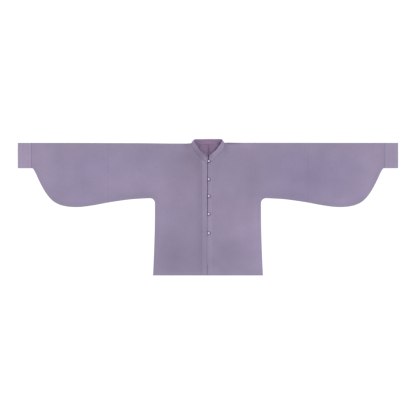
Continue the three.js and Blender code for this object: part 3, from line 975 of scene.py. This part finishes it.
def build_band(band):
    """One front band: a strip over the edge of the front, from the neckline to the hem."""
    columns = spaced(band.opening, band.sewn, BAND_RIM, BAND_COLUMNS, BAND_RIM)
    tops = [float(neckline(column, "front")) - BAND_TOP_GAP for column in columns]
    y = np.array([spaced(top, -LENGTH, BAND_RIM, BAND_ROWS, BAND_RIM) for top in tops])
    flat_x = np.repeat(np.array(columns)[:, None], y.shape[1], axis=1)
    from_opening, from_sewn = np.abs(flat_x - band.opening), np.abs(flat_x - band.sewn)
    pull = closing(y) * np.clip(1 - from_opening / CLOSING_REACH, 0, 1)
    x = flat_x + math.copysign(1, band.opening - band.sewn) * pull
    # The edge at the opening is round, and lies level where it is drawn up to the other band.
    level = closing(y) / MOST_CLOSED
    rise = BAND_RISE * (1 - (1 - level) * np.exp(-from_opening / BAND_ROUND))
    rise = rise * (1 - np.exp(-from_sewn / band.softness))
    far = np.full(x.shape, FAR)
    bm = bmesh.new()
    add_grid(bm, x, y, cloth_top(x, y) + BAND_LIFT + rise, {
        "edge_mm": far, "hem_mm": y + LENGTH, "join_mm": far, "tone": painted_shading_and_mottle(x, y)})
    face_outwards(bm)
    return bm


def collar_lines(shares):
    """The collar's lower line, its top edge and its way inwards, at shares of its length."""
    seam, edge = (curve_through(collar_curve(key), shares) for key in ("seam", "edge"))
    inwards = np.cross(np.gradient(seam, axis=0), edge - seam)
    inwards /= np.linalg.norm(inwards, axis=1)[:, None]
    level = inwards * np.array([1, 1, 0])
    level /= np.maximum(np.linalg.norm(level, axis=1), 1e-6)[:, None]
    low = seam + level * SEAM_INSET
    # Round the back the band is sewn right down onto the lower layer, which lies on the table.
    low[:, Z] -= LET_DOWN * np.clip((LET_DOWN_FROM - seam[:, Z]) / LET_DOWN_OVER, 0, 1)
    return low, edge, inwards


COLLAR_SHARES = np.linspace(0, 1, COLLAR_POINTS)
COLLAR_LINES = collar_lines(COLLAR_SHARES)


def collar_face(t, h, depth=0.0):
    """The outer face at the shares t of its length and h of its height, moved inwards by the depth."""
    t, h = np.broadcast_arrays(np.asarray(t, float), np.asarray(h, float))
    # The two front corners are rounded, so that the collar gets shorter towards its top edge.
    cut = 1 - quarter_round((1 - h) / CORNER_SHARE)
    t = 0.5 + (t - 0.5) * (1 - 2 * cut * CORNER_CUT / COLLAR_LENGTH)
    low, edge, inwards = (
        np.stack([np.interp(t, COLLAR_SHARES, line[:, axis]) for axis in range(3)], axis=-1)
        for line in COLLAR_LINES)
    h = h[..., None]
    bow = 4 * COLLAR_BOW * h * (1 - h)
    return low * (1 - h) + edge * h - inwards * (bow - depth)


def build_collar():
    """The stand collar, with the last rows of its top edge rounded in towards the middle of the wall."""
    turned_in = TOP_ROUND * (1 - quarter_round((1 - COLLAR_ROWS) / TOP_ROUND_SHARE))
    face = collar_face(COLLAR_COLUMNS[:, None], COLLAR_ROWS[None, :], turned_in[None, :, None])
    x, y, z = np.moveaxis(face, -1, 0)
    far = np.full(x.shape, FAR)
    from_top = np.repeat(((1 - COLLAR_ROWS) * COLLAR_HEIGHT)[None, :], len(COLLAR_COLUMNS), axis=0)
    bm = bmesh.new()
    add_grid(bm, x, y, z, {
        "edge_mm": far, "hem_mm": from_top, "join_mm": far, "tone": painted_shading_and_mottle(x, y, COLLAR_PAINTED_SHADING)})
    # The collar's outer face looks up at its two front ends, which lie furthest down the front.
    face_outwards(bm, rank=lambda vert: -vert.co.y)
    return bm


def on_cloth(x, y, lift=THREAD_LIFT):
    """The route over the upper layer through the places (x, y)."""
    x, y = np.asarray(x, float), np.asarray(y, float)
    return np.stack([x, settled(x, y), cloth_top(x, y) + lift], axis=1)


def sew(name, route):
    """A row of stitches along a line of points in millimetres, as small rounded threads."""
    sizes, colours = settings()
    length = sizes.stitch / MM
    step = length + STITCH_GAP
    route = np.asarray(route, float)
    travelled = np.concatenate([[0], np.cumsum(np.linalg.norm(np.diff(route, axis=0), axis=1))])
    bm = bmesh.new()
    for index in range(int(travelled[-1] // step)):
        start, stop = (
            Vector([np.interp((index + 0.5) * step + offset, travelled, route[:, axis]) for axis in range(3)])
            for offset in (-length / 2, length / 2))
        turn = (stop - start).to_track_quat("X", "Z").to_matrix().to_4x4()
        size = Matrix.Diagonal((length / 2 * MM, THREAD_HALF_WIDTH * MM, THREAD_HALF_HEIGHT * MM, 1))
        at = Matrix.Translation(place(*((start + stop) / 2)))
        bmesh.ops.create_icosphere(bm, subdivisions=1, radius=1.0, matrix=at @ turn @ size)
    return finish_piece(name, bm, "cloth", thread_material(colours.thread))


def build_pearl(low, high):
    """A pearl on its shank, between the corners of its box in metres."""
    radius = float(high[X] - low[X]) / 2
    middle = (low + high) / 2
    bm = bmesh.new()
    bmesh.ops.create_uvsphere(
        bm, u_segments=PEARL_SEGMENTS, v_segments=PEARL_RINGS, radius=radius,
        matrix=Matrix.Translation((middle[X], middle[Y], high[Z] - radius)))
    bmesh.ops.create_cone(
        bm, cap_ends=True, segments=SHANK_SEGMENTS, radius1=SHANK_FOOT * MM, radius2=SHANK_TOP * MM,
        depth=SHANK_HEIGHT * MM,
        matrix=Matrix.Translation((middle[X], middle[Y], low[Z] + SHANK_HEIGHT / 2 * MM)))
    return bm


def loop_route(low, high, thick):
    """The middle of a loop's cord, inside its box: a tail, half a turn round the pearl, and a tail.

    Both tails go down through the cloth of the right front, so that no cut end shows.
    """
    radius = float(high[Y] - low[Y]) / 2 - thick / 2
    x, y, z = high[X] - thick / 2 - radius, (low[Y] + high[Y]) / 2, (low[Z] + high[Z]) / 2
    tail = [(low[X] + along * MM, z - down * MM) for along, down in LOOP_TAIL]
    turns = np.linspace(math.pi / 2, -math.pi / 2, LOOP_POINTS)
    return [
        *((along, y + radius, height) for along, height in tail),
        *((x + radius * math.cos(a), y + radius * math.sin(a), z) for a in turns),
        *((along, y - radius, height) for along, height in reversed(tail)),
    ]


def build_cord(route, thick):
    """A round cord with closed ends along a route in metres."""
    curve = bpy.data.curves.new("cord", "CURVE")
    curve.dimensions = "3D"
    curve.bevel_depth = thick / 2
    curve.bevel_resolution = 3
    curve.use_fill_caps = True
    spline = curve.splines.new("POLY")
    spline.points.add(len(route) - 1)
    for point, at in zip(spline.points, route):
        point.co = (*at, 1)
    maker = bpy.data.objects.new("maker", curve)
    bpy.context.scene.collection.objects.link(maker)
    mesh = bpy.data.meshes.new_from_object(maker.evaluated_get(bpy.context.evaluated_depsgraph_get()))
    bpy.data.objects.remove(maker)
    bpy.data.curves.remove(curve)
    bm = bmesh.new()
    bm.from_mesh(mesh)
    bpy.data.meshes.remove(mesh)
    weld(bm, CORD_WELD)
    return bm


# ---- One operator for each group of pieces -----------------------------------------------------------
class JACKET_OT_stage(bpy.types.Operator):
    """Adds the lit white table top, the soft lights and the camera straight above"""

    bl_idname = "jacket.stage"
    bl_label = "Stage"

    def execute(self, context):
        scene = context.scene
        scene.view_settings.view_transform = "Standard"
        bm = bmesh.new()
        bmesh.ops.create_grid(bm, x_segments=2, y_segments=2, size=TABLE_REACH)
        mesh = bpy.data.meshes.new("table_top")
        bm.to_mesh(mesh)
        bm.free()
        # Opal acrylic lit from below: a white ground with no shadow edge.
        opal, _, _ = new_material(
            "lit opal acrylic", Base_Color=linear("#A8A8A8"), Roughness=0.9, Specular_IOR_Level=0.0,
            Emission_Color=linear("#FFFFFF"), Emission_Strength=TABLE_GLOW)
        mesh.materials.append(opal)
        table = bpy.data.objects.new("table_top", mesh)
        scene.collection.objects.link(table)

        world = bpy.data.worlds.new("soft studio")
        scene.world = world
        world.use_nodes = True
        world.node_tree.nodes["Background"].inputs["Color"].default_value = linear("#FFFFFF")
        world.node_tree.nodes["Background"].inputs["Strength"].default_value = SKY_STRENGTH

        lamp = bpy.data.lights.new("high_key", "SUN")
        lamp.angle = SUN_SPREAD
        lamp.energy = SUN_STRENGTH
        key = bpy.data.objects.new("high_key", lamp)
        level = math.cos(SUN_HEIGHT)
        towards = Vector((level * math.cos(SUN_TURN), level * math.sin(SUN_TURN), math.sin(SUN_HEIGHT)))
        key.rotation_euler = towards.to_track_quat("Z", "Y").to_euler()
        scene.collection.objects.link(key)

        lens = bpy.data.cameras.new("camera")
        lens.lens = FOCAL_LENGTH
        lens.sensor_width = SENSOR_WIDTH
        lens.clip_end = VIEW_DEPTH
        camera = bpy.data.objects.new("camera", lens)
        camera.location = (0.0, (SHOULDER + VIEW_MIDDLE) * MM, VIEW_WIDTH * FOCAL_LENGTH / SENSOR_WIDTH)
        scene.collection.objects.link(camera)
        scene.camera = camera
        return {"FINISHED"}


class JACKET_OT_body(bpy.types.Operator):
    """Adds the two halves of the body, with the stitching of hem and slits"""

    bl_idname = "jacket.body"
    bl_label = "Body"

    def execute(self, context):
        sizes, colours = settings()
        outer = cloth_material("pressed lilac crepe", colours.cloth)
        inner = cloth_material("pressed lilac crepe, wrong side in painted shade", colours.inside)
        hem_y = -LENGTH + HEM_TURNING
        rising = np.linspace(hem_y, SLIT - LENGTH + PAST_SLIT, HEM_POINTS)
        for word, side in SIDES:
            piece = finish_piece(f"{word}_body", build_body(side), "cloth", outer, inner)
            thicken(piece, sizes.cloth)
            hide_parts(f"body_{word}")
            start = RIGHT_BAND_EDGE - BESIDE_BAND if side < 0 else LEFT_BAND_EDGE + BESIDE_BAND
            beside_slit = side * (side_edge(rising) - SLIT_TURNING)
            along_hem = np.linspace(start, beside_slit[0], HEM_POINTS)
            stitches = sew(f"{word}_hem_stitches", np.concatenate([
                on_cloth(along_hem, np.full(HEM_POINTS, hem_y)),
                on_cloth(beside_slit, rising)[1:],
            ]))
        return {"FINISHED"}


class JACKET_OT_sleeves(bpy.types.Operator):
    """Adds the two sleeves beyond their joining seams"""

    bl_idname = "jacket.sleeves"
    bl_label = "Sleeves"

    def execute(self, context):
        sizes, colours = settings()
        outer = cloth_material("pressed lilac crepe", colours.cloth)
        inner = cloth_material("pressed lilac crepe, wrong side in painted shade", colours.inside)
        for word, side in SIDES:
            tube = build_tube(side, SLEEVE_SEAM, CUFF_SEAM - JOIN_GAP, SLEEVE_COLUMNS, SLEEVE_ROWS)
            piece = finish_piece(f"{word}_sleeve", tube, "cloth", outer, inner)
            thicken(piece, sizes.cloth)
            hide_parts(f"sleeve_{word}")
        return {"FINISHED"}


class JACKET_OT_cuffs(bpy.types.Operator):
    """Adds the two narrow cuffs, with the stitching of their ends"""

    bl_idname = "jacket.cuffs"
    bl_label = "Cuffs"

    def execute(self, context):
        sizes, colours = settings()
        outer = cloth_material("pressed lilac crepe, cuffs", colours.cuff, hem_stops=CUFF_PROFILE)
        inner = cloth_material("pressed lilac crepe, wrong side in painted shade", colours.inside)
        down = np.linspace(-CUFF_ROW_INSET, CUFF_ROW_INSET - CUFF_DEPTH, CUFF_POINTS)
        for word, side in SIDES:
            tube = build_tube(side, CUFF_SEAM, HALF_SPAN, CUFF_COLUMNS, CUFF_ROWS, cuff=True)
            piece = finish_piece(f"{word}_cuff", tube, "cuff", outer, inner)
            thicken(piece, sizes.cloth)
            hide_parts(f"cuff_{word}")
            sewn_x = np.full(CUFF_POINTS, side * (HALF_SPAN - CUFF_TURNING))
            stitches = sew(f"{word}_cuff_stitches", on_cloth(sewn_x, down))
        return {"FINISHED"}


class JACKET_OT_bands(bpy.types.Operator):
    """Adds the bands stitched down the two front edges"""

    bl_idname = "jacket.bands"
    bl_label = "Front bands"

    def execute(self, context):
        _, colours = settings()
        outer = cloth_material("pressed lilac crepe, bands", colours.band)
        for band in BANDS:
            piece = finish_piece(f"{band.word}_front_band", build_band(band), "band", outer)
            thicken(piece, BAND_WALL * MM)
            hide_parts(f"front_band_{band.word}")
            sewn_x = band.sewn + math.copysign(BAND_TURNING, band.opening - band.sewn)
            top = float(neckline(sewn_x, "front")) - BAND_ROW_TOP
            down = np.linspace(top, -LENGTH + BAND_ROW_END, BAND_POINTS)
            lift = BAND_LIFT + BAND_RISE * (1 - math.exp(-BAND_TURNING / band.softness))
            route = on_cloth(np.full(BAND_POINTS, sewn_x), down, lift)
            stitches = sew(f"{band.word}_band_stitches", route)
        return {"FINISHED"}


class JACKET_OT_collar(bpy.types.Operator):
    """Adds the stiffened stand collar, with the stitching of its top edge"""

    bl_idname = "jacket.collar"
    bl_label = "Collar"

    def execute(self, context):
        sizes, colours = settings()
        outer = cloth_material("stiffened lilac crepe", colours.collar, TOP_PROFILE)
        inner = cloth_material("stiffened lilac crepe, inner face", colours.collar_inside, TOP_PROFILE)
        piece = finish_piece("stand_collar", build_collar(), "collar", outer, inner)
        thicken(piece, sizes.collar)
        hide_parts("collar")
        # The rows of stitches stop just short of the front ends.
        along, share = COLLAR_COLUMNS[2:-2], 1 - COLLAR_TURNING / COLLAR_HEIGHT
        stitches = [
            sew("collar_outer_stitches", collar_face(along, share)),
            sew("collar_inner_stitches", collar_face(along, share, sizes.collar / MM + THREAD_LIFT)),
        ]
        return {"FINISHED"}


class JACKET_OT_buttons(bpy.types.Operator):
    """Adds the pearls on their shanks"""

    bl_idname = "jacket.buttons"
    bl_label = "Pearl buttons"

    def execute(self, context):
        _, colours = settings()
        for index in FASTENINGS:
            low, high = (np.array(corner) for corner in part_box(f"button_{index}"))
            pearl = build_pearl(low, high)
            piece = finish_piece(f"pearl_{index}", pearl, "pearl", pearl_material(colours.pearl))
            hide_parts(f"button_{index}")
        return {"FINISHED"}


class JACKET_OT_loops(bpy.types.Operator):
    """Adds the rolled cord loops"""

    bl_idname = "jacket.loops"
    bl_label = "Cord loops"

    def execute(self, context):
        sizes, colours = settings()
        for index in FASTENINGS:
            low, high = (np.array(corner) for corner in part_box(f"loop_{index}"))
            cord = build_cord(loop_route(low, high, sizes.cord), sizes.cord)
            piece = finish_piece(f"cord_loop_{index}", cord, "cord", cord_material(colours.cord))
            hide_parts(f"loop_{index}")
        return {"FINISHED"}


class JACKET_PT_panel(bpy.types.Panel):
    """Lists the settings and the pieces"""

    bl_idname = "JACKET_PT_panel"
    bl_label = "Stand-collar jacket"
    bl_space_type = "VIEW_3D"
    bl_region_type = "UI"
    bl_category = "Jacket"

    def draw(self, context):
        for group in settings():
            box = self.layout.box()
            for name in group.__annotations__:
                box.prop(group, name)
        for operator in OPERATORS:
            self.layout.operator(operator.bl_idname)


OPERATORS = [
    JACKET_OT_stage,
    JACKET_OT_body,
    JACKET_OT_sleeves,
    JACKET_OT_cuffs,
    JACKET_OT_bands,
    JACKET_OT_collar,
    JACKET_OT_buttons,
    JACKET_OT_loops,
]
CLASSES = [JacketSizes, JacketColours, *OPERATORS, JACKET_PT_panel]


def register():
    """Makes the settings, the operators and the panel known, and puts the settings on the scene."""
    for one in CLASSES:
        bpy.utils.register_class(one)
    bpy.types.Scene.jacket_sizes = bpy.props.PointerProperty(type=JacketSizes)
    bpy.types.Scene.jacket_colours = bpy.props.PointerProperty(type=JacketColours)


def unregister():
    """Undoes register()."""
    del bpy.types.Scene.jacket_colours
    del bpy.types.Scene.jacket_sizes
    for one in reversed(CLASSES):
        bpy.utils.unregister_class(one)


def main():
    """Builds the stage and the jacket."""
    register()
    bpy.ops.jacket.stage()
    bpy.ops.jacket.body()
    bpy.ops.jacket.sleeves()
    bpy.ops.jacket.cuffs()
    bpy.ops.jacket.bands()
    bpy.ops.jacket.collar()
    bpy.ops.jacket.buttons()
    bpy.ops.jacket.loops()


if __name__ == "__main__":
    main()
